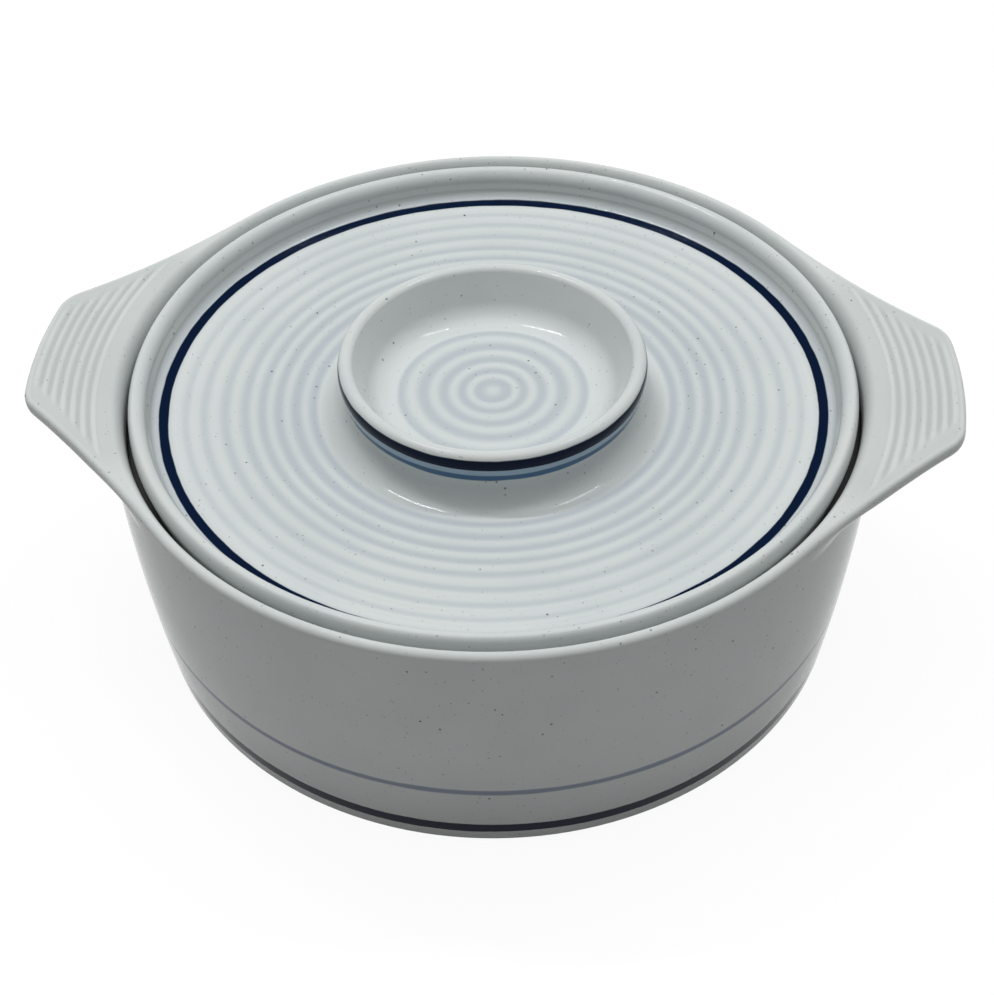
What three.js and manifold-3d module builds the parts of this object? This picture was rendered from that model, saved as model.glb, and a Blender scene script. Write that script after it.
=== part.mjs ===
// A covered stoneware casserole: a pot with a bowed wall and two grooved lug handles, and a sunken lid that
// sits on a gallery inside the rim and is lifted by a flared ring knob.
// Millimetres, +Z up. The origin is on the surface that the pot stands on, and the handles lie along X.

import * as THREE from "three";
import { mergeVertices } from "three/addons/utils/BufferGeometryUtils.js";
import Module from "manifold-3d";

// Pot: its wall widens in a gentle bow from the base edge to the rim
const RIM_RADIUS = 116;
const BASE_RADIUS = 110;
const POT_HEIGHT = 88;
const WALL = 7.5; // at the floor
const FLOOR = 6;
const FLOOR_CORNER = 12; // rounding between the floor and the wall inside
const BASE_EDGE = 0.8; // rounding of the bottom edge outside
const LIP = 5; // thickness of the rim above the gallery
const LIP_EDGE = 2; // rounding of the rim outside; the inside takes the rest of its thickness

// Foot ring: the bare clay that stands on the table
const FOOT_RADIUS = 96.5;
const FOOT_WIDTH = 5;
const FOOT_HEIGHT = 1.5;
const FOOT_TAPER = 1;

// Gallery: the ledge inside the rim that carries the lid
const GALLERY_DEPTH = 13;
const GALLERY_WIDTH = 4.2;
const GALLERY_FILLET = 1;
const GALLERY_EDGE = 1.5;

// Lid: its raised rim ends level with the rim of the pot
const LID_PLAY = 1; // side play inside the lip, and of the locating step inside the gallery
const SEAT_GAP = 0.3; // under the seat of the lid
const LID_RIM = 5.3;
const LID_THICKNESS = 6;
const LID_EDGE = 1; // rounding of the outer bottom edge
const LOCATOR_DEPTH = 3.5;
const LOCATOR_TAPER = 1;

// Well: the sunken ringed top of the lid, which falls gently towards the knob
const WELL_DEPTH = 9.4;
const WELL_FALL = 3;
const WELL_LEAN = 0.8; // how far the wall of the well leans in towards its foot
const WELL_FILLET = 3.5;
const RING_COUNT = 8;
const RING_PITCH = 5.53;
const RING_RELIEF = 0.7;
const FIRST_RING = 54.9; // radius of the trough nearest to the knob

// Knob: a flared ring on a cove that rises from the well
const COVE = 7.5; // radius of the cove
const KNOB_NECK = 45.5;
const KNOB_BULGE = 46.9;
const KNOB_HEIGHT = 10.6; // above the neck
const KNOB_LIP = 4.4;
const KNOB_LIP_SETBACK = 0.2; // of the lip behind the bulge

// Dish: the hollow inside the knob, whose floor is the ringed centre of the lid
const DISH_NECK = 38; // radius of the dish where the knob stands on the lid
const DISH_SINK = 4.5; // below the neck
const DISH_FILLET = 9;
const DISH_RING_COUNT = 5;
const DISH_RING_PITCH = 4.6;
const DISH_RING_GROWTH = 0.28; // each ring is wider than the last by twice this
const DISH_RING_RELIEF = 0.6;

// Handles: lugs that spread from the rim, level with its top
const HANDLE_REACH = 24.5; // beyond the rim
const HANDLE_HALF_WIDTH = 27.3; // to where a flank would meet the end
const HANDLE_FLANK_DEG = 40; // between a flank and the length of the handle
const HANDLE_SPREAD_DEG = 40; // on each side of the handle, to where its flank leaves the rim
const HANDLE_CORNER = 9;
const HANDLE_THICKNESS = 5; // at the end
const HANDLE_ROOT_DROP = 1.5; // added to the thickness at the wall
const HANDLE_EDGE = 1.5;
const HANDLE_ROOT = 1.5; // how far the outline runs into the wall before it is cut to the pot
const LUTE_GAP = 0.3; // slip joint between handle and pot

// Grooves on top of each handle, round the axis of the pot
const GROOVE_COUNT = 6;
const GROOVE_PITCH = 2.94;
const GROOVE_WIDTH = 2.1;
const GROOVE_DEPTH = 0.6;
const GROOVE_BORDER = 4.7; // from the end of the handle to the last groove
const GROOVE_MARGIN = 8; // from the ends of the grooves to the flanks

// Fineness of the facets
const TURN_STEPS = 48;
const ARC_STEPS = 4;
const WALL_STEPS = 4;
const CORNER_STEPS = 6;
const OUTLINE_STEPS = 4;
const BEVEL_STEPS = 3;
const GROOVE_STEPS = 7;
const GROOVE_RUNOUT = 6; // power of the curve that lifts a groove out at its ends
const MERGE_DISTANCE = 1e-4;

// Heights and radii that follow from the sizes above
const FLOOR_TOP = FOOT_HEIGHT + FLOOR;
const WALL_LOW = FOOT_HEIGHT + BASE_EDGE;
const WALL_HIGH = POT_HEIGHT - LIP_EDGE;
const GALLERY_Z = POT_HEIGHT - GALLERY_DEPTH;
const LIP_INSIDE = RIM_RADIUS - LIP;
const LIP_ROUND = LIP - LIP_EDGE;
const GALLERY_INSIDE = LIP_INSIDE - GALLERY_WIDTH;
const LID_RADIUS = LIP_INSIDE - LID_PLAY;
const LOCATOR_RADIUS = GALLERY_INSIDE - LID_PLAY;
const SEAT_Z = GALLERY_Z + SEAT_GAP;
const WELL_Z = POT_HEIGHT - WELL_DEPTH;
const WELL_RADIUS = LID_RADIUS - LID_RIM - WELL_LEAN;
const COVE_RADIUS = KNOB_NECK + COVE;
const COVE_Z = WELL_Z - WELL_FALL;
const NECK_Z = COVE_Z + COVE;
const DISH_Z = NECK_Z - DISH_SINK;
const HANDLE_END = RIM_RADIUS + HANDLE_REACH;

const GLAZE = { color: 0xcfd5d4, roughness: 0.25, metalness: 0 };

const wasm = await Module();
wasm.setup();

/** Radius of the outside of the pot's wall at height z: a parabola that stands upright at the rim. */
function wallRadius(z) {
  const below = (WALL_HIGH - z) / (WALL_HIGH - WALL_LOW);
  return RIM_RADIUS - (RIM_RADIUS - BASE_RADIUS) * below ** 2;
}

/** A point of a profile: distance from the axis, and height. */
function at(radius, z) {
  return new THREE.Vector2(radius, z);
}

/** Points on an arc of a profile, between two angles in degrees, both ends included. */
function arc(centre, radius, fromDeg, toDeg, steps = ARC_STEPS) {
  return Array.from({ length: steps + 1 }, (_, i) => {
    const angle = THREE.MathUtils.degToRad(THREE.MathUtils.lerp(fromDeg, toDeg, i / steps));
    return at(centre.x + radius * Math.cos(angle), centre.y + radius * Math.sin(angle));
  });
}

/** Turns a profile, drawn anticlockwise, round the Z axis. */
function turned(profile) {
  return new THREE.LatheGeometry(profile, TURN_STEPS).rotateX(Math.PI / 2);
}

/** A closed geometry as a solid that can be joined and cut. */
function solid(geometry) {
  const bare = new THREE.BufferGeometry();
  bare.setAttribute("position", geometry.getAttribute("position"));
  bare.setIndex(geometry.getIndex());
  const merged = mergeVertices(bare, MERGE_DISTANCE);
  return new wasm.Manifold(
    new wasm.Mesh({
      numProp: 3,
      vertProperties: new Float32Array(merged.getAttribute("position").array),
      triVerts: new Uint32Array(merged.getIndex().array),
    }),
  );
}

/** The surface of a solid as a geometry. */
function surface(body) {
  const mesh = body.getMesh();
  const geometry = new THREE.BufferGeometry();
  geometry.setAttribute("position", new THREE.BufferAttribute(mesh.vertProperties, 3));
  geometry.setIndex(new THREE.BufferAttribute(mesh.triVerts, 1));
  geometry.computeVertexNormals();
  return geometry;
}

/** Soft rings between neighbouring troughs: each one rises by relief from the line that base gives. */
function rings(troughs, base, relief) {
  const points = [at(troughs[0], base(troughs[0]))];
  for (let i = 1; i < troughs.length; i += 1) {
    for (const [share, rise] of [[0.25, 0.5], [0.5, 1], [0.75, 0.5], [1, 0]]) {
      const radius = THREE.MathUtils.lerp(troughs[i - 1], troughs[i], share);
      points.push(at(radius, base(radius) + rise * relief));
    }
  }
  return points;
}

/** Outside of the pot from its bottom edge to the top of its rim, grown outwards by the given amount. */
function potOutside(grown = 0) {
  const edge = at(BASE_RADIUS - BASE_EDGE, WALL_LOW);
  const rim = at(RIM_RADIUS - LIP_EDGE, WALL_HIGH);
  const wall = Array.from({ length: WALL_STEPS - 1 }, (_, i) => {
    const z = THREE.MathUtils.lerp(WALL_LOW, WALL_HIGH, (i + 1) / WALL_STEPS);
    return at(wallRadius(z) + grown, z);
  });
  return [...arc(edge, BASE_EDGE + grown, -90, 0), ...wall, ...arc(rim, LIP_EDGE + grown, 0, 90)];
}

/** The pot: foot ring, wall, rim, gallery, and a hollow with a rounded floor. */
function potBody() {
  const footInside = FOOT_RADIUS - FOOT_WIDTH / 2;
  const footOutside = FOOT_RADIUS + FOOT_WIDTH / 2;
  const lip = at(LIP_INSIDE + LIP_ROUND, POT_HEIGHT - LIP_ROUND);
  const ledgeFillet = at(LIP_INSIDE - GALLERY_FILLET, GALLERY_Z + GALLERY_FILLET);
  const ledgeEdge = at(GALLERY_INSIDE + GALLERY_EDGE, GALLERY_Z - GALLERY_EDGE);
  const cornerTop = FLOOR_TOP + FLOOR_CORNER;
  const corner = at(wallRadius(cornerTop) - WALL - FLOOR_CORNER, cornerTop);
  return turned([
    at(0, FOOT_HEIGHT),
    at(footInside - FOOT_TAPER, FOOT_HEIGHT),
    at(footInside, 0),
    at(footOutside, 0),
    at(footOutside + FOOT_TAPER, FOOT_HEIGHT),
    ...potOutside(),
    ...arc(lip, LIP_ROUND, 90, 180).slice(1),
    ...arc(ledgeFillet, GALLERY_FILLET, 0, -90, 2),
    ...arc(ledgeEdge, GALLERY_EDGE, 90, 180, 3),
    ...arc(corner, FLOOR_CORNER, 0, -90, CORNER_STEPS),
    at(0, FLOOR_TOP),
  ]);
}

/** Height of the well's floor, without its rings: it falls from its wall to the cove round the knob. */
function wellFloor(radius) {
  return WELL_Z - (WELL_FALL * (WELL_RADIUS - radius)) / (WELL_RADIUS - COVE_RADIUS);
}

/** Underside of the lid from its axis to its outer edge: a shallow hump, the locating step and the seat. */
function lidUnderside() {
  const edge = at(LID_RADIUS - LID_EDGE, SEAT_Z + LID_EDGE);
  return [
    at(0, DISH_Z - LID_THICKNESS),
    at(DISH_NECK, DISH_Z - LID_THICKNESS),
    at(COVE_RADIUS, COVE_Z - LID_THICKNESS),
    at(LOCATOR_RADIUS - LOCATOR_TAPER, SEAT_Z - LOCATOR_DEPTH),
    at(LOCATOR_RADIUS, SEAT_Z),
    ...arc(edge, LID_EDGE, -90, 0, 2),
  ];
}

/** Raised rim of the lid and the wall of the well, from the outer edge down to the well's floor. */
function lidRim() {
  const crest = at(LID_RADIUS - LID_RIM / 2, POT_HEIGHT - LID_RIM / 2);
  const foot = at(WELL_RADIUS - WELL_FILLET, WELL_Z + WELL_FILLET);
  return [...arc(crest, LID_RIM / 2, 0, 180, 2 * ARC_STEPS), ...arc(foot, WELL_FILLET, 0, -90, 3)];
}

/** Rings of the well and the cove up to the neck of the knob. */
function lidWell() {
  const troughs = Array.from({ length: RING_COUNT + 1 }, (_, i) => FIRST_RING + i * RING_PITCH);
  const cove = at(COVE_RADIUS, NECK_Z);
  return [...rings(troughs.reverse(), wellFloor, RING_RELIEF), ...arc(cove, COVE, -90, -180)];
}

/** Floor of the dish: a fillet under the knob, and rings that narrow towards a raised centre. */
function lidDish() {
  const fillet = at(DISH_NECK - Math.sqrt(DISH_SINK * (2 * DISH_FILLET - DISH_SINK)), DISH_Z + DISH_FILLET);
  const filletTopDeg = THREE.MathUtils.radToDeg(Math.atan2(NECK_Z - fillet.y, DISH_NECK - fillet.x));
  const ringTrough = (i) => i * (DISH_RING_PITCH + DISH_RING_GROWTH * (i - 1));
  const troughs = Array.from({ length: DISH_RING_COUNT }, (_, i) => ringTrough(DISH_RING_COUNT - i));
  return [
    ...arc(fillet, DISH_FILLET, filletTopDeg, -90),
    ...rings(troughs, () => DISH_Z, DISH_RING_RELIEF),
    at(0, DISH_Z + DISH_RING_RELIEF),
  ];
}

/** The lid, whose land between cove and dish carries the knob. */
function lid() {
  return turned([...lidUnderside(), ...lidRim(), ...lidWell(), ...lidDish()]);
}

/** The knob: a ring that leans out from its neck to a rounded lip, with a bulging outer side. */
function lidKnob() {
  const lipRadius = KNOB_BULGE - KNOB_LIP_SETBACK;
  const lip = at(lipRadius - KNOB_LIP / 2, NECK_Z + KNOB_HEIGHT - KNOB_LIP / 2);
  const neck = at(KNOB_NECK, NECK_Z);
  const bulge = at(2 * KNOB_BULGE - (KNOB_NECK + lipRadius) / 2, (NECK_Z + lip.y) / 2);
  const side = new THREE.QuadraticBezierCurve(neck, bulge, at(lipRadius, lip.y));
  const dish = at(DISH_NECK, NECK_Z);
  return turned([
    dish,
    ...side.getPoints(ARC_STEPS),
    ...arc(lip, KNOB_LIP / 2, 0, 180, 2 * ARC_STEPS).slice(1),
    dish.clone(),
  ]);
}

/** Plan of a handle that points along +X: a round end, round corners, and flanks that run into the rim. */
function handleOutline() {
  const flank = THREE.MathUtils.degToRad(HANDLE_FLANK_DEG);
  const spread = THREE.MathUtils.degToRad(HANDLE_SPREAD_DEG);
  const along = new THREE.Vector2(Math.cos(flank), -Math.sin(flank));
  const outward = new THREE.Vector2(Math.sin(flank), Math.cos(flank));
  const tip = new THREE.Vector2(Math.sqrt(HANDLE_END ** 2 - HANDLE_HALF_WIDTH ** 2), HANDLE_HALF_WIDTH);
  const inset = tip.clone().addScaledVector(outward, -HANDLE_CORNER);
  const ahead = inset.dot(along);
  const slack = inset.lengthSq() - (HANDLE_END - HANDLE_CORNER) ** 2;
  const corner = inset.clone().addScaledVector(along, Math.sqrt(ahead ** 2 - slack) - ahead);
  const cornerAngle = corner.angle();
  const flankEnd = corner.clone().addScaledVector(outward, HANDLE_CORNER);
  const root = new THREE.Vector2(Math.cos(spread), Math.sin(spread)).multiplyScalar(RIM_RADIUS - HANDLE_ROOT);
  const pull = root.distanceTo(flankEnd) / 3;
  const nearRoot = root.clone().add(new THREE.Vector2(Math.sin(spread), -Math.cos(spread)).multiplyScalar(pull));
  const nearEnd = flankEnd.clone().addScaledVector(along, -pull);

  const outline = new THREE.Shape();
  outline.moveTo(root.x, -root.y);
  outline.bezierCurveTo(nearRoot.x, -nearRoot.y, nearEnd.x, -nearEnd.y, flankEnd.x, -flankEnd.y);
  outline.absarc(corner.x, -corner.y, HANDLE_CORNER, flank - Math.PI / 2, -cornerAngle);
  outline.absarc(0, 0, HANDLE_END, -cornerAngle, cornerAngle);
  outline.absarc(corner.x, corner.y, HANDLE_CORNER, cornerAngle, Math.PI / 2 - flank);
  outline.bezierCurveTo(nearEnd.x, nearEnd.y, nearRoot.x, nearRoot.y, root.x, root.y);
  outline.closePath();
  return outline;
}

/** A plate with rounded edges, flush with the top of the rim, whose underside drops towards the wall. */
function handlePlate() {
  const depth = HANDLE_THICKNESS - 2 * HANDLE_EDGE;
  const plate = new THREE.ExtrudeGeometry(handleOutline(), {
    depth,
    bevelThickness: HANDLE_EDGE,
    bevelSize: HANDLE_EDGE,
    bevelOffset: -HANDLE_EDGE,
    bevelSegments: BEVEL_STEPS,
    curveSegments: OUTLINE_STEPS,
  });
  const position = plate.getAttribute("position");
  for (let i = 0; i < position.count; i += 1) {
    const underside = position.getZ(i) < depth / 2;
    const drop = (HANDLE_ROOT_DROP * (HANDLE_END - position.getX(i))) / HANDLE_REACH;
    const level = position.getZ(i) + POT_HEIGHT - depth - HANDLE_EDGE;
    position.setZ(i, underside ? level - drop : level);
  }
  return plate;
}

/** Path of the round tool that cuts a groove: an arc round the pot's axis that lifts out at both ends. */
class GroovePath extends THREE.Curve {
  constructor(radius, halfAngle, bottomZ, lift) {
    super();
    Object.assign(this, { radius, halfAngle, bottomZ, lift });
  }

  getPoint(t, target = new THREE.Vector3()) {
    const side = 2 * t - 1;
    const angle = side * this.halfAngle;
    const z = this.bottomZ + this.lift * side ** GROOVE_RUNOUT;
    return target.set(this.radius * Math.cos(angle), this.radius * Math.sin(angle), z);
  }
}

/** The tool's sweep along one groove of the given radius. */
function grooveCut(radius) {
  const toolRadius = (GROOVE_WIDTH ** 2 / 4 + GROOVE_DEPTH ** 2) / (2 * GROOVE_DEPTH);
  const flank = THREE.MathUtils.degToRad(HANDLE_FLANK_DEG);
  const toFlank = HANDLE_HALF_WIDTH + (HANDLE_END - radius) * Math.tan(flank);
  const halfAngle = (toFlank - GROOVE_MARGIN) / radius;
  const path = new GroovePath(radius, halfAngle, POT_HEIGHT + toolRadius - GROOVE_DEPTH, toolRadius);
  const section = new THREE.Shape().absarc(0, 0, toolRadius, 0, 2 * Math.PI);
  return new THREE.ExtrudeGeometry(section, {
    steps: GROOVE_STEPS,
    extrudePath: path,
    bevelEnabled: false,
    curveSegments: OUTLINE_STEPS,
  });
}

/** One handle along +X, grooved, and cut to fit the outside of the pot. */
function handle() {
  const outside = potOutside(LUTE_GAP);
  const pot = turned([at(0, outside[0].y), ...outside, at(0, outside.at(-1).y)]);
  let body = solid(handlePlate()).subtract(solid(pot));
  for (let i = 0; i < GROOVE_COUNT; i += 1) {
    const cut = grooveCut(HANDLE_END - GROOVE_BORDER - i * GROOVE_PITCH);
    body = body.subtract(solid(cut));
  }
  return surface(body);
}

/** A named piece with its own glaze. */
function piece(name, geometry) {
  const mesh = new THREE.Mesh(geometry, new THREE.MeshStandardMaterial(GLAZE));
  mesh.name = name;
  return mesh;
}

const handleShape = handle();
const rightHandle = piece("right_handle", handleShape);
const leftHandle = piece("left_handle", handleShape.clone());
leftHandle.rotation.z = Math.PI;

const pot = new THREE.Group();
pot.add(piece("pot_body", potBody()), rightHandle, leftHandle);

const cover = new THREE.Group();
cover.add(piece("lid", lid()), piece("lid_knob", lidKnob()));

const casserole = new THREE.Group();
casserole.add(pot, cover);

export default casserole;
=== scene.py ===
"""A covered stoneware casserole, glazed and painted round its frame, in a plain white studio cove.

Metres, +Z up, with the lug handles along X. The pot and its two lugs are one glazed skin, as slip and glaze
make them on the real one, and so are the lid and its knob.
"""

from collections import namedtuple

import bpy
import numpy as np
from mathutils import Matrix, Vector


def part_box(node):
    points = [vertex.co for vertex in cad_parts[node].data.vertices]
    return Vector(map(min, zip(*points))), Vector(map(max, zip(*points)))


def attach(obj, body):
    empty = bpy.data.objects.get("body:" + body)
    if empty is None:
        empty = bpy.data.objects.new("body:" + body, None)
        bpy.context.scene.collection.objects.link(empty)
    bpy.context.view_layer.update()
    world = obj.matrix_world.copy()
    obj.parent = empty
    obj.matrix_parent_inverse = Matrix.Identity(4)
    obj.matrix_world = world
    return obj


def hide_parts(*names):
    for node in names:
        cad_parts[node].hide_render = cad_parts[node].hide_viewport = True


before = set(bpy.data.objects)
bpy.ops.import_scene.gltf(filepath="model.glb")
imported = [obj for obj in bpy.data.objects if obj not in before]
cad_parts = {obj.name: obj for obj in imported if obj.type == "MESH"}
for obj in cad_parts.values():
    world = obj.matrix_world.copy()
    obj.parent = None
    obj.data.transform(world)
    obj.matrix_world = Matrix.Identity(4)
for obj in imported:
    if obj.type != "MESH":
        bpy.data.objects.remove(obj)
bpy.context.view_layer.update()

MM = 0.001

# Sizes that the frame gives
RIM_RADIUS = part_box("pot_body")[1][0]
POT_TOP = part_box("pot_body")[1][2]
LUG_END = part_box("right_handle")[1][0]
LID_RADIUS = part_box("lid")[1][0]
KNOB_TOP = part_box("lid_knob")[1][2]

# Pot: wall, lip, gallery and hollow
BASE_RADIUS = 110.3 * MM
BASE_EDGE = 0.5 * MM
WALL = 7.5 * MM
LIP = 4.6 * MM
LIP_EDGE = 1.9 * MM
LIP_ROUND_UP = 6.5 * MM
GALLERY_DEPTH = 13 * MM
GALLERY_WIDTH = 4.6 * MM
GALLERY_FILLET = 1 * MM
GALLERY_EDGE = 1.5 * MM
FLOOR = 6 * MM
FLOOR_CORNER = 12 * MM

# Foot ring of bare clay
FOOT_RADIUS = 96.5 * MM
FOOT_WIDTH = 5 * MM
FOOT_HEIGHT = 1.5 * MM
FOOT_TAPER = 1 * MM
FOOT_ROUND = 0.5 * MM
FOOT_TURN_DEG = 20

# Lugs: plan, rise, edge, underside, and the wider rounding of the lip at their root
LUG_CORNER = 12 * MM
LUG_CORNER_TURN = np.radians(8.3)
LUG_FLANK = np.radians(40)
LUG_SPREAD = np.radians(40)
LUG_RISE = 1.5 * MM
LUG_EDGE_ACROSS = 2.0 * MM
LUG_EDGE_UP = 2.4 * MM
LUG_EDGE_POWER = 0.75
LUG_EDGE_TURN = np.radians(86)
LUG_BLEND = 8 * MM
LUG_FOOT_DROP = 8.5 * MM
LUG_LIP_ROUND = 0.8 * MM

# How far the curve under the rim is pulled, as shares of its span, at the plain rim and under a lug
RIM_PULL = 0.33
LUG_START_PULL = 0.8
LUG_FOOT_PULL = 0.1

# Grooves combed round the axis into the top of each lug
GROOVE_COUNT = 6
GROOVE_PITCH = 2.94 * MM
GROOVE_BORDER = 4.7 * MM
GROOVE_DEPTH = 0.6 * MM
GROOVE_MARGIN = 8 * MM
GROOVE_FADE = 7 * MM
GROOVE_RUN_OUT = 0.5

# Lid: seat, raised rim and ringed well
LID_CREST_INSIDE = 3.3 * MM
LID_CREST_OUTSIDE = 2 * MM
LID_CREST_UP = 4.5 * MM
LID_EDGE = 1 * MM
LID_TAPER = 1.5 * MM
LID_THICKNESS = 6 * MM
SEAT_GAP = 0.3 * MM
LOCATOR_DEPTH = 3.5 * MM
LOCATOR_TAPER = 1 * MM
LID_PLAY = 1 * MM
WELL_DEPTH = 9.4 * MM
WELL_FALL = 3 * MM
WELL_LEAN = 0.8 * MM
WELL_FILLET = 3.5 * MM
WELL_TROUGHS = np.array([54.9, 60.4, 65.7, 70.6, 75.7, 81.8, 88.1, 93.6, 98.8]) * MM
WELL_RELIEF = 0.35 * MM

# Knob: a flared ring on a cove, round a ringed dish
COVE = 7.5 * MM
KNOB_NECK = 45.5 * MM
COVE_TOP_DEG = 170
KNOB_LIP_CENTRE = 44.2 * MM
KNOB_LIP = 2.4 * MM
KNOB_LIP_END_DEG = 16
KNOB_WALL_DEG = 24.6
DISH_FLOOR = 30 * MM
DISH_DEPTH = 15 * MM
DISH_FILLET = 9 * MM
DISH_TROUGHS = np.array([4.55, 9.35, 14.95, 21.15, 28.5]) * MM
DISH_RELIEF = 0.3 * MM

# Depth of the glaze, 0 thin to 1 pooled; a pair is for the innermost and the outermost ring.
# On the well the pairs fall outwards, which is painted shade: darker near the knob, lighter at the rim
PLAIN = 0.5
POOLED = 1.0
WELL_CREST_DEPTH_AND_SHADE = (0.66, 0.42)
WELL_TROUGH_DEPTH_AND_SHADE = (1.0, 0.72)
DISH_CREST = (0.58, 0.58)
DISH_TROUGH = (0.95, 0.95)
LUG_TOP = 0.72
LUG_RIB = 0.35

# Fineness of the skins
LIP_ROWS = 90
EDGE_ROWS = 18
UNDER_ROWS = 30
WALL_ROWS = 8
LUG_COLUMNS = 160
PLAIN_COLUMNS = 44
LID_COLUMNS = 256
RING_STEPS = 14
CORNER_STEPS = 24
FLANK_STEPS = 80
KNOB_SIDE_STEPS = 16
WELL_FILLET_STEPS = 10
SAME_POINT = 0.001 * MM

# Levels that follow
FLOOR_TOP = FOOT_HEIGHT + FLOOR
GALLERY_Z = POT_TOP - GALLERY_DEPTH
LIP_INSIDE = RIM_RADIUS - LIP
LIP_ROUND = LIP - LIP_EDGE
GALLERY_INSIDE = LIP_INSIDE - GALLERY_WIDTH
WALL_LOW = FOOT_HEIGHT + BASE_EDGE
WALL_HIGH = POT_TOP - LIP_EDGE
WALL_MIDDLE = (WALL_LOW + WALL_HIGH) / 2
SEAT_Z = GALLERY_Z + SEAT_GAP
WELL_Z = POT_TOP - WELL_DEPTH
WELL_RADIUS = LID_RADIUS - LID_CREST_OUTSIDE - LID_CREST_INSIDE - WELL_LEAN
COVE_RADIUS = KNOB_NECK + COVE
COVE_Z = WELL_Z - WELL_FALL
NECK_Z = COVE_Z + COVE
DISH_Z = KNOB_TOP - DISH_DEPTH


def srgb(red, green, blue):
    """A colour written as it looks on screen, from 0 to 255, as the linear values that a shader takes."""
    share = np.array([red, green, blue]) / 255
    linear = np.where(share <= 0.04045, share / 12.92, ((share + 0.055) / 1.055) ** 2.4)
    return (*linear.tolist(), 1)


# Finish
GLAZE_EVEN = srgb(207, 212, 211)
GLAZE_THIN = srgb(214, 218, 216)
LID_POOLED = srgb(181, 189, 194)
POT_POOLED = srgb(184, 189, 188)
NAVY = srgb(3, 21, 48)
SLATE_BLUE = srgb(76, 108, 140)
BLUE_WASH = srgb(158, 179, 196)
GREY_BLUE = srgb(140, 149, 163)
SPECK = srgb(80, 78, 76)
# Painted shade: bare clay in a dark grey, so the gap between lid and pot reads as shade; the foot uses it
# too
GAP_SHADE_CLAY = srgb(86, 88, 87)
GLAZE_ROUGHNESS = 0.1
LID_SPECULAR = 0.11
POT_SPECULAR = 0.03
CLAY_ROUGHNESS = 0.8
PEEL_HEIGHT = 0.2 * MM
PEEL_STRENGTH = 0.06
PEEL_SCALE = 320
PEEL_DETAIL = 2
CLOUD_STRENGTH = 0.2
CLOUD_SCALE = 28
CLOUD_DETAIL = 3
CLOUD_LOW = 0.35
CLOUD_HIGH = 0.7
SPECK_LAYERS = [(400, 0.22), (640, 0.20)]
SPECK_SIZE_POWER = 1.3
SPECK_CORE = 0.4
SPECK_FAINT_POWER = 3.0
SPECK_FAINTEST = 0.2
WAVER_SCALE = 90
WAVER_DETAIL = 2
WAVER_WIDTH = 0.6 * MM

# Painted lines, and bare clay whose dark grey is painted shade in the gap round the lid:
# a band at a radius or a height, kept between two limits of the other one
Band = namedtuple("Band", "colour across centre width feather low high")
LID_BANDS = [
    Band(NAVY, "Radius", 100.15 * MM, 2.9 * MM, 0.2 * MM, 75 * MM, 84 * MM),
    Band(BLUE_WASH, "Height", 87.6 * MM, 5.0 * MM, 0.8 * MM, 44.3 * MM, 60 * MM),
    Band(NAVY, "Height", 90.6 * MM, 3.5 * MM, 0.2 * MM, 44.3 * MM, 60 * MM),
    Band(SLATE_BLUE, "Height", 85.3 * MM, 2.3 * MM, 0.3 * MM, 44.3 * MM, 60 * MM),
]
# The lid's lower side in the gap: bare clay, its dark grey painted shade
LID_CLAY_AND_GAP_SHADE = [Band(GAP_SHADE_CLAY, "Height", 74 * MM, 7 * MM, 0.2 * MM, 105.2 * MM, 112 * MM)]
POT_BANDS = [
    Band(NAVY, "Height", 7.9 * MM, 4.2 * MM, 0.2 * MM, 104 * MM, 130 * MM),
    Band(GREY_BLUE, "Height", 27.5 * MM, 2.2 * MM, 0.4 * MM, 108 * MM, 130 * MM),
]
POT_CLAY_AND_GAP_SHADE = [
    # The bare foot ring, then the gallery under the lid, whose dark grey is painted shade
    Band(GAP_SHADE_CLAY, "Height", 0.0, 2.4 * MM, 0.3 * MM, 90 * MM, 103 * MM),
    Band(GAP_SHADE_CLAY, "Height", 74.2 * MM, 8.4 * MM, 0.5 * MM, 104 * MM, 113 * MM),
]

# Studio: a round floor that turns up into a low wall, lamps above and behind, and a dim surround
STAGE_FLOOR = 2.2
STAGE_SWEEP = 0.6
STAGE_WALL = 1.4
STAGE_COLUMNS = 96
STAGE_BOUNCE = 0.6
STAGE_SHADOW = 0.07
STAGE_GLOW = 0.94
LAMP_PLACE = (0.44, 0.38, 1.4)
LAMP_SIZE = (0.42, 0.03)
LAMP_TURN = np.radians(38)
LEFT_LAMP_WATTS = 5.8
RIGHT_LAMP_WATTS = 3.0
OVERHEAD_PLACE = (0, 0.3, 1.9)
OVERHEAD_SIZE = (1.5, 1.5)
OVERHEAD_WATTS = 19
LIGHT_AIM = (0, 0, 0.08)
SURROUND = 0.2

# Camera: where it stands before it is turned round the axis, and how it is tilted and rolled
CAMERA_PLACE = (0.51 * MM, -418.73 * MM, 437.92 * MM)
CAMERA_TURN = np.radians(5.55)
CAMERA_DOWN = np.radians(44.006)
CAMERA_ROLL = np.radians(-1.243)
SENSOR = 36
FOCAL_PIXELS = 1800
IMAGE_HEIGHT = 995
CAMERA_NEAR = 0.01


# Sections: rows of radius, height and depth of glaze, in the half plane beside the axis

def smooth(share):
    """0 up to 0, 1 from 1, and a smooth rise between."""
    share = np.clip(share, 0, 1)
    return share**2 * (3 - 2 * share)


def glazed(points, depth=PLAIN):
    """Points of radius and height with the depth of the glaze on them as a third column."""
    return np.column_stack([points, np.broadcast_to(depth, len(points))])


def line(start, end, steps=1, depth=PLAIN):
    """Equal steps along the straight line from start to end, both included."""
    share = np.linspace(0, 1, steps + 1)[:, None]
    return glazed(np.array(start) * (1 - share) + np.array(end) * share, depth)


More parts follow.
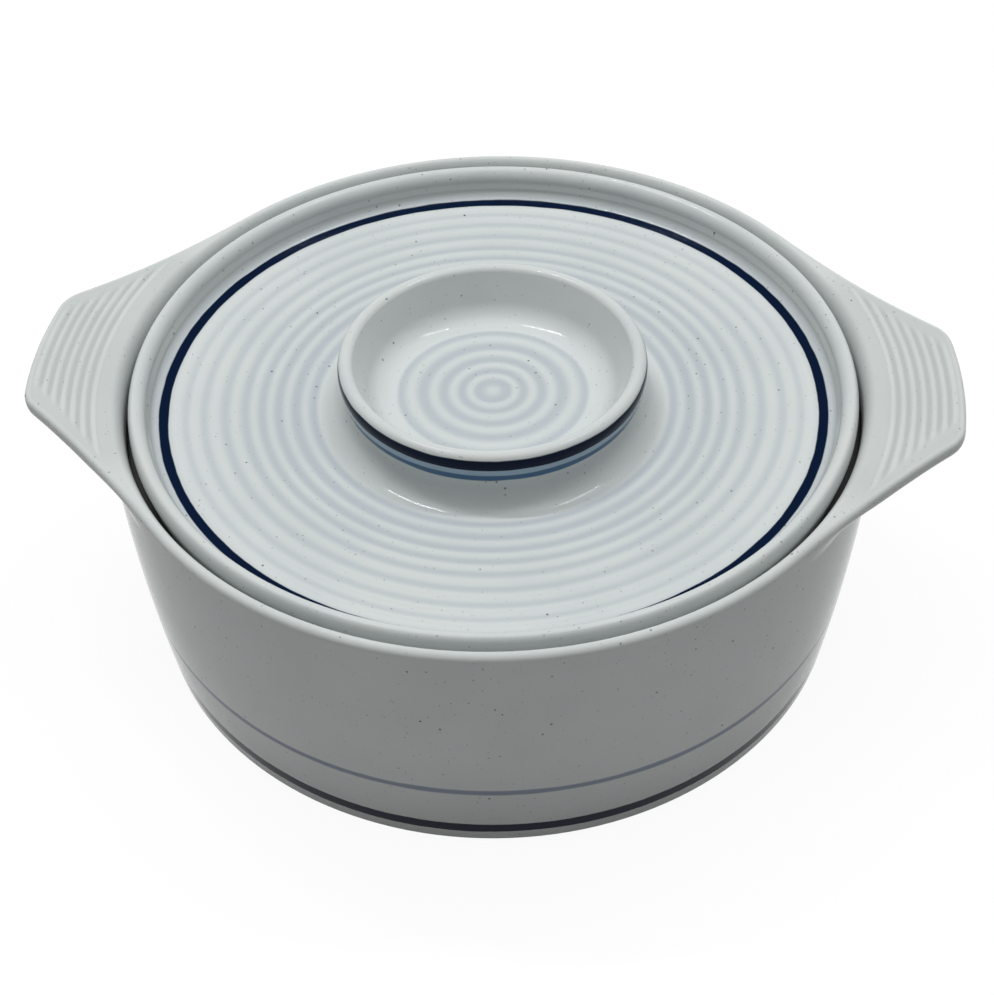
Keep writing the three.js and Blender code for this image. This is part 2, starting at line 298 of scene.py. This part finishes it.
def arc(centre, size, from_deg, to_deg, steps, depth=PLAIN):
    """Equal turns round centre, both ends included; size is one radius, or two, across and up."""
    turn = np.radians(np.linspace(from_deg, to_deg, steps + 1))
    direction = np.stack([np.cos(turn), np.sin(turn)], axis=-1)
    return glazed(np.array(centre) + np.array(size) * direction, depth)


def curve(start, start_pull, end_pull, end, share):
    """Cubic curve at the given shares: leaves start towards start_pull, comes to end from end_pull."""
    left = 1 - share
    first_half = left**3 * start + 3 * left**2 * share * start_pull
    return first_half + 3 * left * share**2 * end_pull + share**3 * end


def rings(troughs, floor, relief, crest, trough):
    """Soft rings: between troughs a cosine wave rises by relief above the height floor(radius).

    The pairs crest and trough give the depth of the glaze there, at the innermost and the outermost ring;
    where a pair's two values differ, the change across the rings is painted shade.
    """
    phase = np.linspace(0, len(troughs) - 1, RING_STEPS * (len(troughs) - 1) + 1)
    radius = np.interp(phase, np.arange(len(troughs)), troughs)
    rise = (1 - np.cos(2 * np.pi * phase)) / 2
    ends = [0, phase[-1]]
    depth = np.interp(phase, ends, trough) * (1 - rise) + np.interp(phase, ends, crest) * rise
    return glazed(np.stack([radius, floor(radius) + relief * rise], axis=-1), depth)


def section(*runs):
    """The runs end to end, without the points where one repeats the last, as radius, height and depth."""
    points = np.concatenate(runs)
    apart = np.linalg.norm(np.diff(points[:, :2], axis=0), axis=1) > SAME_POINT
    return points[np.concatenate([[True], apart])].T


def wall_radius(height):
    """Radius of the bowed outer wall of the pot: a parabola that stands upright at the rim."""
    below = (WALL_HIGH - height) / (WALL_HIGH - WALL_LOW)
    return RIM_RADIUS - (RIM_RADIUS - BASE_RADIUS) * below**2


# Skins: sections carried round the axis

def ring_quads(rows, columns):
    """Vertex numbers of a grid whose rows close on themselves, those one column on, and its faces."""
    grid = np.arange(rows * columns).reshape(rows, columns)
    beside = np.roll(grid, -1, axis=1)
    return grid, beside, np.stack([grid[:-1], grid[1:], beside[1:], beside[:-1]], axis=-1).reshape(-1, 4)


def new_object(name, points, faces):
    """A smooth mesh object in the scene."""
    mesh = bpy.data.meshes.new(name)
    mesh.from_pydata(points.tolist(), [], faces)
    mesh.shade_smooth()
    made = bpy.data.objects.new(name, mesh)
    bpy.context.scene.collection.objects.link(made)
    return made


def closed_skin(name, radius, height, depth, turn):
    """A closed mesh from grids of radius, height and glaze depth, by row of the section and angle.

    A vertex lies at (radius cos turn, radius sin turn, height). The first and last rows are points on the
    axis, each closed by a fan of triangles.
    """
    rows, columns = radius.shape[0] - 2, radius.shape[1]
    ring = np.stack([radius * np.cos(turn), radius * np.sin(turn), height], axis=-1)[1:-1]
    poles = np.array([[0, 0, height[0, 0]], [0, 0, height[-1, 0]]])
    grid, beside, quads = ring_quads(rows, columns)
    first = np.stack([np.full(columns, rows * columns), grid[0], beside[0]], axis=-1)
    last = np.stack([np.full(columns, rows * columns + 1), beside[-1], grid[-1]], axis=-1)
    points = np.concatenate([ring.reshape(-1, 3), poles])
    skin = new_object(name, points, quads.tolist() + first.tolist() + last.tolist())
    values = np.concatenate([depth[1:-1].ravel(), depth[[0, -1], 0]]).astype(np.float32)
    skin.data.attributes.new("glaze_depth_and_shade", "FLOAT", "POINT").data.foreach_set("value", values)
    return skin


# Pot

def lug_plan():
    """Half the plan of a lug as rising angles from its middle and the distance from the axis at each.

    A round end about the axis, a corner arc inside it, and a flank: a cubic curve that leaves the corner
    along the flank's direction and runs into the rim along the rim's own tangent.
    """
    corner = (LUG_END - LUG_CORNER) * np.array([np.cos(LUG_CORNER_TURN), np.sin(LUG_CORNER_TURN)])
    corner_from = np.degrees(LUG_CORNER_TURN)
    corner_to = 90 - np.degrees(LUG_FLANK)
    corner_run = arc(corner, LUG_CORNER, corner_from, corner_to, CORNER_STEPS)[:, :2]
    start = corner_run[-1]
    end = RIM_RADIUS * np.array([np.cos(LUG_SPREAD), np.sin(LUG_SPREAD)])
    pull = np.linalg.norm(end - start) / 3
    start_pull = start + pull * np.array([-np.cos(LUG_FLANK), np.sin(LUG_FLANK)])
    end_pull = end + pull * np.array([np.sin(LUG_SPREAD), -np.cos(LUG_SPREAD)])
    share = np.linspace(0, 1, FLANK_STEPS + 1)[:, None]
    flank_run = curve(start, start_pull, end_pull, end, share)
    points = np.concatenate([corner_run, flank_run[1:]])
    return np.arctan2(points[:, 1], points[:, 0]), np.hypot(points[:, 0], points[:, 1])


def combed(radius, turn, plan_turn, plan_radius):
    """How strongly a lug's top is combed, and how deep in a groove it lies, both 0 to 1.

    They are given at a radius and an angle from the lug's middle. Across the radius the grooves are a
    squared cosine, one trough for each, and the first and last run out within part of a pitch. Along the
    arc they fade out before they reach the flank.
    """
    phase = (LUG_END - GROOVE_BORDER - radius) / GROOVE_PITCH
    among = smooth((phase + 1) / GROOVE_RUN_OUT) * smooth((GROOVE_COUNT - phase) / GROOVE_RUN_OUT)
    flank_turn = np.interp(radius, plan_radius[::-1], plan_turn[::-1])
    to_flank = radius * (flank_turn - turn)
    return among * smooth((to_flank - GROOVE_MARGIN) / GROOVE_FADE), np.cos(np.pi * phase) ** 2


def lug_rise(radius):
    """How far a lug's top has risen above the rim at a radius: a smooth rise from the rim to its end."""
    return LUG_RISE * smooth((radius - RIM_RADIUS) / (LUG_END - RIM_RADIUS))


def rim_and_lugs(turn):
    """Rows from inside the lip over the rim and the lugs and down to the middle of the wall, at each angle.

    At each angle the rim is drawn out to the lug's plan. A quarter ellipse rises from the gallery to the
    crest, a top that rises gently runs out from it, a squarish elliptic edge turns it down, and a cubic
    curve, never inside the wall, brings the underside back into it. Where the plan is the rim's own
    circle, the same formulas give the plain rim.
    """
    plan_turn, plan_radius = lug_plan()
    folded = np.arccos(np.abs(np.cos(turn)))
    edge_radius = np.interp(folded, plan_turn, plan_radius, left=LUG_END, right=RIM_RADIUS)
    drawn = smooth((edge_radius - RIM_RADIUS) / LUG_BLEND)
    slant = np.hypot(1, np.gradient(edge_radius, turn) / edge_radius)

    lip_across = LIP_ROUND + LUG_LIP_ROUND * drawn
    across = LIP_EDGE + (LUG_EDGE_ACROSS * slant - LIP_EDGE) * drawn
    up = LIP_EDGE + (LUG_EDGE_UP - LIP_EDGE) * drawn
    crest_radius = LIP_INSIDE + lip_across
    edge_centre = np.maximum(edge_radius - across, crest_radius)
    edge_rise = lug_rise(edge_centre)
    lip_length = np.pi / 2 * np.hypot(lip_across, LIP_ROUND_UP) / np.sqrt(2)
    way = np.linspace(0, 1, LIP_ROWS + 1)[:, None] * (lip_length + edge_centre - crest_radius)
    on_lip = np.clip(way / lip_length, 0, 1) * np.pi / 2
    top_radius = crest_radius - lip_across * np.cos(on_lip) + np.maximum(way - lip_length, 0)
    combing, groove = combed(top_radius, folded, plan_turn, plan_radius)
    top_height = POT_TOP + lug_rise(top_radius) - LIP_ROUND_UP * (1 - np.sin(on_lip))
    top_height = top_height - GROOVE_DEPTH * groove * combing
    lug_depth = LUG_TOP + (LUG_RIB + (POOLED - LUG_RIB) * groove - LUG_TOP) * combing
    top_depth = PLAIN + (lug_depth - PLAIN) * drawn

    power = 1 + (LUG_EDGE_POWER - 1) * drawn
    edge_end = LUG_EDGE_TURN * drawn
    on_edge = np.linspace(0, 1, EDGE_ROWS + 1)[1:, None] * (np.pi / 2 + edge_end) - np.pi / 2
    edge_radii = edge_centre + across * np.cos(on_edge) ** power
    edge_height = POT_TOP + edge_rise - up - up * np.sign(on_edge) * np.abs(np.sin(on_edge)) ** power

    foot_height = POT_TOP - LUG_FOOT_DROP
    foot = np.stack([np.full_like(turn, wall_radius(foot_height)), np.full_like(turn, foot_height)])
    start = np.stack([edge_radii[-1], edge_height[-1]])
    leaving = np.stack([-np.sin(edge_end), -np.cos(edge_end)])
    rising = np.array([0, 1])[:, None]
    span = np.linalg.norm(start - foot, axis=0)
    start_pull = start + leaving * span * (RIM_PULL + (LUG_START_PULL - RIM_PULL) * drawn)
    start_pull[0] = np.maximum(start_pull[0], foot[0])
    foot_pull = foot + rising * span * (RIM_PULL + (LUG_FOOT_PULL - RIM_PULL) * drawn)
    share = np.linspace(0, 1, UNDER_ROWS + 1)[1:, None]
    under = curve(start[:, None], start_pull[:, None], foot_pull[:, None], foot[:, None], share)

    wall_height = np.linspace(foot_height, WALL_MIDDLE, WALL_ROWS + 1)[1:, None] + np.zeros_like(turn)
    radius = np.concatenate([top_radius, edge_radii, under[0], wall_radius(wall_height)])
    height = np.concatenate([top_height, edge_height, under[1], wall_height])
    plain = np.full((len(radius) - len(top_depth), len(turn)), PLAIN)
    return radius, height, np.concatenate([top_depth, plain])


def pot_inside():
    """Section from the middle of the floor up the hollow and over the gallery to the foot of the lip."""
    corner_top = FLOOR_TOP + FLOOR_CORNER
    corner = (wall_radius(corner_top) - WALL - FLOOR_CORNER, corner_top)
    ledge_edge = (GALLERY_INSIDE + GALLERY_EDGE, GALLERY_Z - GALLERY_EDGE)
    ledge_fillet = (LIP_INSIDE - GALLERY_FILLET, GALLERY_Z + GALLERY_FILLET)
    return section(
        line((0, FLOOR_TOP), (corner[0], FLOOR_TOP), steps=4),
        arc(corner, FLOOR_CORNER, -90, 0, steps=10),
        line((corner[0] + FLOOR_CORNER, corner[1]), (GALLERY_INSIDE, ledge_edge[1]), steps=6),
        arc(ledge_edge, GALLERY_EDGE, 180, 90, steps=5),
        arc(ledge_fillet, GALLERY_FILLET, -90, 0, steps=4),
    )


def pot_base():
    """Section from the middle of the wall down to the base edge, under it, and round the foot ring."""
    foot_in = FOOT_RADIUS - FOOT_WIDTH / 2
    foot_out = FOOT_RADIUS + FOOT_WIDTH / 2
    wall_height = np.linspace(WALL_MIDDLE, WALL_LOW, WALL_ROWS + 1)
    wall_run = glazed(np.stack([wall_radius(wall_height), wall_height], axis=-1))
    return section(
        wall_run[1:],
        arc((BASE_RADIUS - BASE_EDGE, WALL_LOW), BASE_EDGE, 0, -90, steps=6),
        line((BASE_RADIUS - BASE_EDGE, FOOT_HEIGHT), (foot_out + FOOT_TAPER, FOOT_HEIGHT), steps=3),
        arc((foot_out - FOOT_ROUND, FOOT_ROUND), FOOT_ROUND, FOOT_TURN_DEG, -90, steps=4),
        arc((foot_in + FOOT_ROUND, FOOT_ROUND), FOOT_ROUND, -90, -180 - FOOT_TURN_DEG, steps=4),
        line((foot_in - FOOT_TAPER, FOOT_HEIGHT), (0, FOOT_HEIGHT), steps=4),
    )


def pot_turn():
    """Angles round the axis: close together over the two lugs, and wider apart between them."""
    lug = np.linspace(-LUG_SPREAD, LUG_SPREAD, LUG_COLUMNS + 1)[:-1]
    plain = np.linspace(LUG_SPREAD, np.pi - LUG_SPREAD, PLAIN_COLUMNS + 1)[:-1]
    half = np.concatenate([lug, plain])
    return np.concatenate([half, half + np.pi])


def make_pot():
    """The pot and its lugs as one closed skin."""
    turn = pot_turn()
    inside, base = [part[:, :, None] + np.zeros_like(turn) for part in (pot_inside(), pot_base())]
    skin = closed_skin("pot_skin", *np.concatenate([inside, rim_and_lugs(turn), base], axis=1), turn)
    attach(skin, "pot")
    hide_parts("pot_body", "right_handle", "left_handle")
    return skin


# Lid

def well_floor(radius):
    """Height of the well without its rings: it falls evenly from its wall to the cove round the knob."""
    return WELL_Z - WELL_FALL * (WELL_RADIUS - radius) / (WELL_RADIUS - COVE_RADIUS)


def dish_floor(radius):
    """Height of the dish without its rings: level."""
    return np.full_like(radius, DISH_Z)


def dish_section():
    """Section from the raised middle of the dish over its rings, and up the fillet to the knob's wall."""
    fillet = (DISH_FLOOR, DISH_Z + DISH_FILLET)
    centre_wave = np.concatenate([[-DISH_TROUGHS[0]], DISH_TROUGHS])
    waves = rings(centre_wave, dish_floor, DISH_RELIEF, DISH_CREST, DISH_TROUGH)
    return [waves[waves[:, 0] >= 0], arc(fillet, DISH_FILLET, -90, -KNOB_WALL_DEG, steps=12)]


def knob_section():
    """Section over the lip of the knob and down its bulging side and the cove to the floor of the well."""
    lip_centre = (KNOB_LIP_CENTRE, KNOB_TOP - KNOB_LIP)
    lip_run = arc(lip_centre, KNOB_LIP, 180 - KNOB_WALL_DEG, KNOB_LIP_END_DEG, steps=20)
    cove_run = arc((COVE_RADIUS, NECK_Z), COVE, COVE_TOP_DEG, 270, steps=20)
    leave = np.radians(KNOB_LIP_END_DEG)
    come = np.radians(COVE_TOP_DEG)
    start, end = lip_run[-1, :2], cove_run[0, :2]
    pull = np.linalg.norm(start - end) / 3
    side_pull = start + pull * np.array([np.sin(leave), -np.cos(leave)])
    neck_pull = end + pull * np.array([np.sin(come), -np.cos(come)])
    share = np.linspace(0, 1, KNOB_SIDE_STEPS + 1)[:, None]
    side_run = glazed(curve(start, side_pull, neck_pull, end, share))
    return [lip_run, side_run, cove_run]


def well_section():
    """Section over the rings of the well, up its wall and over the raised rim to the lid's outer edge."""
    foot = (WELL_RADIUS - WELL_FILLET, WELL_Z + WELL_FILLET)
    crest = (LID_RADIUS - LID_CREST_OUTSIDE, POT_TOP - LID_CREST_UP)
    thinning = np.linspace(POOLED, PLAIN, WELL_FILLET_STEPS + 1)
    return [
        # Ring depths that darken towards the knob: painted shade over the pooled troughs
        rings(WELL_TROUGHS, well_floor, WELL_RELIEF, WELL_CREST_DEPTH_AND_SHADE, WELL_TROUGH_DEPTH_AND_SHADE),
        arc(foot, WELL_FILLET, -90, 0, WELL_FILLET_STEPS, thinning),
        arc(crest, (LID_CREST_INSIDE, LID_CREST_UP), 180, 90, steps=14),
        arc(crest, (LID_CREST_OUTSIDE, LID_CREST_UP), 90, 0, steps=14),
        line((LID_RADIUS, crest[1]), (LID_RADIUS - LID_TAPER, SEAT_Z + LID_EDGE), steps=4),
    ]


def underside_section():
    """Section round the lid's lower edge, along its seat, down the locating step and in to the axis."""
    edge = (LID_RADIUS - LID_TAPER - LID_EDGE, SEAT_Z + LID_EDGE)
    locator = GALLERY_INSIDE - LID_PLAY
    step_foot = (locator - LOCATOR_TAPER, SEAT_Z - LOCATOR_DEPTH)
    hump = (COVE_RADIUS, COVE_Z - LID_THICKNESS)
    dish_under = (KNOB_NECK - COVE, DISH_Z - LID_THICKNESS)
    return [
        arc(edge, LID_EDGE, 0, -90, steps=5),
        line((edge[0], SEAT_Z), (locator, SEAT_Z), steps=3),
        line((locator, SEAT_Z), step_foot, steps=3),
        line(step_foot, hump, steps=8),
        line(hump, dish_under, steps=3),
        line(dish_under, (0, dish_under[1]), steps=4),
    ]


def make_lid():
    """The lid and its knob as one closed skin."""
    turn = np.linspace(0, 2 * np.pi, LID_COLUMNS + 1)[:-1]
    runs = dish_section() + knob_section() + well_section() + underside_section()
    skin = closed_skin("lid_skin", *(section(*runs)[:, :, None] + np.zeros_like(turn)), turn)
    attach(skin, "lid")
    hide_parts("lid", "lid_knob")
    return skin


# Node tools

def put(tree, kind, inputs=None, **settings):
    """A node with its settings; each input takes a value or a link from another node's socket."""
    node = tree.nodes.new(kind)
    for key, value in settings.items():
        setattr(node, key, value)
    for key, value in (inputs or {}).items():
        if isinstance(value, bpy.types.NodeSocket):
            tree.links.new(value, node.inputs[key])
        else:
            node.inputs[key].default_value = value
    return node


def sum_of(tree, operation, first, second=0.0, third=0.0):
    """The result of one Math node."""
    return put(tree, "ShaderNodeMath", {0: first, 1: second, 2: third}, operation=operation).outputs[0]


def ramp(tree, value, low, high):
    """0 up to low, 1 from high, smooth between."""
    inputs = {"Value": value, "From Min": low, "From Max": high}
    return put(tree, "ShaderNodeMapRange", inputs, interpolation_type="SMOOTHSTEP").outputs["Result"]


def noise(tree, point, scale, detail):
    """Soft noise, about 0.5 in the middle."""
    return put(tree, "ShaderNodeTexNoise", {"Vector": point, "Scale": scale, "Detail": detail}).outputs[0]


def over(tree, mask, below, above):
    """The colour above laid over the colour below where mask is 1."""
    return put(tree, "ShaderNodeMix", {0: mask, 6: below, 7: above}, data_type="RGBA").outputs[2]


def new_group(name, inputs, outputs):
    """An empty shader node group with the named sockets, and its inner input and output sockets."""
    tree = bpy.data.node_groups.new(name, "ShaderNodeTree")
    tree.interface.new_socket("Point", in_out="INPUT", socket_type="NodeSocketVector")
    for socket in inputs:
        tree.interface.new_socket(socket, in_out="INPUT", socket_type="NodeSocketFloat")
    for socket in outputs:
        tree.interface.new_socket(socket, in_out="OUTPUT", socket_type="NodeSocketFloat")
    return tree, tree.nodes.new("NodeGroupInput").outputs, tree.nodes.new("NodeGroupOutput").inputs


# Shared effects

def axis_group():
    """Distance from the axis and height of a point."""
    tree, given, result = new_group("Round the axis", [], ["Radius", "Height"])
    part = put(tree, "ShaderNodeSeparateXYZ", {0: given["Point"]}).outputs
    flat = put(tree, "ShaderNodeCombineXYZ", {0: part["X"], 1: part["Y"]}).outputs[0]
    length = put(tree, "ShaderNodeVectorMath", {0: flat}, operation="LENGTH").outputs["Value"]
    tree.links.new(length, result["Radius"])
    tree.links.new(part["Z"], result["Height"])
    return tree


def banding_group():
    """A line laid with a brush on the turning pot: its width wavers a little and its edges are soft.

    Across is the coordinate across the line, and Beside the other one, which the line keeps within limits.
    """
    sockets = ["Across", "Centre", "Width", "Feather", "Beside", "Low", "High"]
    tree, given, result = new_group("Banding line", sockets, ["Mask"])
    waver = sum_of(tree, "SUBTRACT", noise(tree, given["Point"], WAVER_SCALE, WAVER_DETAIL), 0.5)
    distance = sum_of(tree, "ABSOLUTE", sum_of(tree, "SUBTRACT", given["Across"], given["Centre"]))
    edge = sum_of(tree, "MULTIPLY_ADD", waver, WAVER_WIDTH, distance)
    half = sum_of(tree, "MULTIPLY", given["Width"], 0.5)
    low = sum_of(tree, "SUBTRACT", half, given["Feather"])
    high = sum_of(tree, "ADD", half, given["Feather"])
    band = sum_of(tree, "SUBTRACT", 1.0, ramp(tree, edge, low, high))
    above = sum_of(tree, "GREATER_THAN", given["Beside"], given["Low"])
    below = sum_of(tree, "LESS_THAN", given["Beside"], given["High"])
    inside = sum_of(tree, "MULTIPLY", above, below)
    tree.links.new(sum_of(tree, "MULTIPLY", band, inside), result["Mask"])
    return tree


def speck_group():
    """Iron specks: a ball in each cell of a lattice, cut by the surface into soft dots, mostly faint."""
    tree, given, result = new_group("Iron specks", ["Cells", "Size"], ["Mask"])
    cells = put(tree, "ShaderNodeTexVoronoi", {"Vector": given["Point"], "Scale": given["Cells"]})
    chance = put(tree, "ShaderNodeSeparateColor", {0: cells.outputs["Color"]}).outputs
    size = sum_of(tree, "MULTIPLY", given["Size"], sum_of(tree, "POWER", chance[0], SPECK_SIZE_POWER))
    core = sum_of(tree, "MULTIPLY", size, SPECK_CORE)
    dot = sum_of(tree, "SUBTRACT", 1.0, ramp(tree, cells.outputs["Distance"], core, size))
    rare = sum_of(tree, "POWER", chance[1], SPECK_FAINT_POWER)
    strength = sum_of(tree, "MULTIPLY_ADD", rare, 1 - SPECK_FAINTEST, SPECK_FAINTEST)
    tree.links.new(sum_of(tree, "MULTIPLY", dot, strength), result["Mask"])
    return tree


def cloud_group():
    """Uneven glaze: broad clouds of tone, and the fine orange peel of a fired surface as a height."""
    tree, given, result = new_group("Uneven glaze", [], ["Tone", "Peel"])
    clouds = noise(tree, given["Point"], CLOUD_SCALE, CLOUD_DETAIL)
    tree.links.new(ramp(tree, clouds, CLOUD_LOW, CLOUD_HIGH), result["Tone"])
    tree.links.new(noise(tree, given["Point"], PEEL_SCALE, PEEL_DETAIL), result["Peel"])
    return tree


def glaze_material(name, pooled, specular, bands, clay, groups):
    """Speckled glaze over clay: its tone follows how deep it lies, with painted lines under it.

    The colour pooled is its tone in hollows, specular its gloss, bands the painted lines, and clay the
    places where it was wiped off. Their dark grey is painted shade in the gap round the lid, and on the
    lid's well the depth of glaze also carries painted shade, darker towards the knob.
    """
    axis, banding, speck, cloud = groups
    material = bpy.data.materials.new(name)
    material.use_nodes = True
    tree = material.node_tree
    shader = tree.nodes["Principled BSDF"]
    point = put(tree, "ShaderNodeTexCoord").outputs["Object"]
    place = put(tree, "ShaderNodeGroup", {"Point": point}, node_tree=axis).outputs
    uneven = put(tree, "ShaderNodeGroup", {"Point": point}, node_tree=cloud).outputs

    def band_mask(band):
        beside = "Height" if band.across == "Radius" else "Radius"
        inputs = {"Point": point, "Across": place[band.across], "Centre": band.centre, "Width": band.width,
                  "Feather": band.feather, "Beside": place[beside], "Low": band.low, "High": band.high}
        return put(tree, "ShaderNodeGroup", inputs, node_tree=banding).outputs["Mask"]

    # Depth of glaze, which on the lid's well also carries painted shade, darker towards the knob
    depth = put(tree, "ShaderNodeAttribute", attribute_name="glaze_depth_and_shade").outputs["Fac"]
    colour = over(tree, ramp(tree, depth, 0.0, PLAIN), GLAZE_THIN, GLAZE_EVEN)
    colour = over(tree, ramp(tree, depth, PLAIN, POOLED), colour, pooled)
    colour = over(tree, sum_of(tree, "MULTIPLY", uneven["Tone"], CLOUD_STRENGTH), colour, pooled)
    for cells, size in SPECK_LAYERS:
        inputs = {"Point": point, "Cells": cells, "Size": size}
        dots = put(tree, "ShaderNodeGroup", inputs, node_tree=speck).outputs["Mask"]
        colour = over(tree, dots, colour, SPECK)
    for band in bands:
        colour = over(tree, band_mask(band), colour, band.colour)
    bare = 0.0
    # Bare clay, whose dark grey is painted shade in the gap round the lid
    for band in clay:
        mask = band_mask(band)
        colour = over(tree, mask, colour, band.colour)
        bare = sum_of(tree, "ADD", mask, bare)

    tree.links.new(colour, shader.inputs["Base Color"])
    rough = sum_of(tree, "MULTIPLY_ADD", bare, CLAY_ROUGHNESS - GLAZE_ROUGHNESS, GLAZE_ROUGHNESS)
    tree.links.new(rough, shader.inputs["Roughness"])
    shader.inputs["Specular IOR Level"].default_value = specular
    peel = {"Height": uneven["Peel"], "Strength": PEEL_STRENGTH, "Distance": PEEL_HEIGHT}
    tree.links.new(put(tree, "ShaderNodeBump", peel).outputs[0], shader.inputs["Normal"])
    return material


# Studio

def stage_material():
    """White to the camera and in reflections, with the object's shadow; a plain grey for bounced light."""
    material = bpy.data.materials.new("studio_white")
    material.use_nodes = True
    tree = material.node_tree
    tree.nodes.remove(tree.nodes["Principled BSDF"])
    path = put(tree, "ShaderNodeLightPath").outputs
    seen = sum_of(tree, "MAXIMUM", path["Is Camera Ray"], path["Is Glossy Ray"])
    seen = sum_of(tree, "MAXIMUM", seen, path["Is Transmission Ray"])
    bounce = put(tree, "ShaderNodeBsdfDiffuse", {"Color": (STAGE_BOUNCE, STAGE_BOUNCE, STAGE_BOUNCE, 1)})
    shadow = put(tree, "ShaderNodeBsdfDiffuse", {"Color": (STAGE_SHADOW, STAGE_SHADOW, STAGE_SHADOW, 1)})
    glow = put(tree, "ShaderNodeEmission", {"Color": (1, 1, 1, 1), "Strength": STAGE_GLOW})
    white = put(tree, "ShaderNodeAddShader", {0: shadow.outputs[0], 1: glow.outputs[0]})
    mixed = put(tree, "ShaderNodeMixShader", {0: seen, 1: bounce.outputs[0], 2: white.outputs[0]})
    tree.links.new(mixed.outputs[0], tree.nodes["Material Output"].inputs["Surface"])
    return material


def make_cove():
    """A round floor whose edge turns up into a low wall, all round the object."""
    sweep = arc((STAGE_FLOOR, STAGE_SWEEP), STAGE_SWEEP, -90, 0, steps=12)[:, :2]
    points = np.concatenate([[[STAGE_FLOOR / 2, 0]], sweep, [[STAGE_FLOOR + STAGE_SWEEP, STAGE_WALL]]])
    turn = np.linspace(0, 2 * np.pi, STAGE_COLUMNS + 1)[:-1]
    radius, height = points.T[:, :, None] + np.zeros_like(turn)
    ring = np.stack([radius * np.cos(turn), radius * np.sin(turn), height], axis=-1)
    grid, _, quads = ring_quads(len(points), STAGE_COLUMNS)
    cove = new_object("studio_cove", ring.reshape(-1, 3), quads.tolist() + [grid[0].tolist()])
    cove.data.materials.append(stage_material())


def make_lamp(name, place, size, watts, turn=0.0):
    """A rectangular lamp that faces the object, with its long side turned about that line."""
    light = bpy.data.lights.new(name, "AREA")
    light.shape = "RECTANGLE"
    light.size, light.size_y = size
    light.energy = watts
    lamp = bpy.data.objects.new(name, light)
    facing = (Vector(LIGHT_AIM) - Vector(place)).to_track_quat("-Z", "Y").to_matrix().to_4x4()
    lamp.matrix_world = Matrix.Translation(place) @ facing @ Matrix.Rotation(turn, 4, "Z")
    bpy.context.scene.collection.objects.link(lamp)


def make_light():
    """Two long lamps above and behind, a large soft one overhead, and a dim even surround."""
    across, back, up = LAMP_PLACE
    for side, name, watts in ((-1, "left_lamp", LEFT_LAMP_WATTS), (1, "right_lamp", RIGHT_LAMP_WATTS)):
        make_lamp(name, (side * across, back, up), LAMP_SIZE, watts, side * LAMP_TURN)
    make_lamp("soft_overhead", OVERHEAD_PLACE, OVERHEAD_SIZE, OVERHEAD_WATTS)
    world = bpy.data.worlds.new("studio")
    world.use_nodes = True
    world.node_tree.nodes["Background"].inputs["Color"].default_value = (1, 1, 1, 1)
    world.node_tree.nodes["Background"].inputs["Strength"].default_value = SURROUND
    bpy.context.scene.world = world


def make_camera():
    """The photograph's view: where the camera is, how it is turned, tilted and rolled, and its angle."""
    data = bpy.data.cameras.new("camera")
    data.sensor_width = SENSOR
    data.lens = SENSOR * FOCAL_PIXELS / IMAGE_HEIGHT
    data.clip_start = CAMERA_NEAR
    camera = bpy.data.objects.new("camera", data)
    turn = Matrix.Rotation(CAMERA_TURN, 4, "Z")
    tilt = Matrix.Rotation(np.pi / 2 - CAMERA_DOWN, 4, "X")
    roll = Matrix.Rotation(CAMERA_ROLL, 4, "Z")
    camera.matrix_world = turn @ Matrix.Translation(CAMERA_PLACE) @ tilt @ roll
    bpy.context.scene.collection.objects.link(camera)
    bpy.context.scene.camera = camera


groups = (axis_group(), banding_group(), speck_group(), cloud_group())
pot_glaze = glaze_material("pot_glaze", POT_POOLED, POT_SPECULAR, POT_BANDS, POT_CLAY_AND_GAP_SHADE, groups)
lid_glaze = glaze_material("lid_glaze", LID_POOLED, LID_SPECULAR, LID_BANDS, LID_CLAY_AND_GAP_SHADE, groups)
make_pot().data.materials.append(pot_glaze)
make_lid().data.materials.append(lid_glaze)
make_cove()
make_light()
make_camera()
bpy.context.scene.view_settings.view_transform = "Standard"
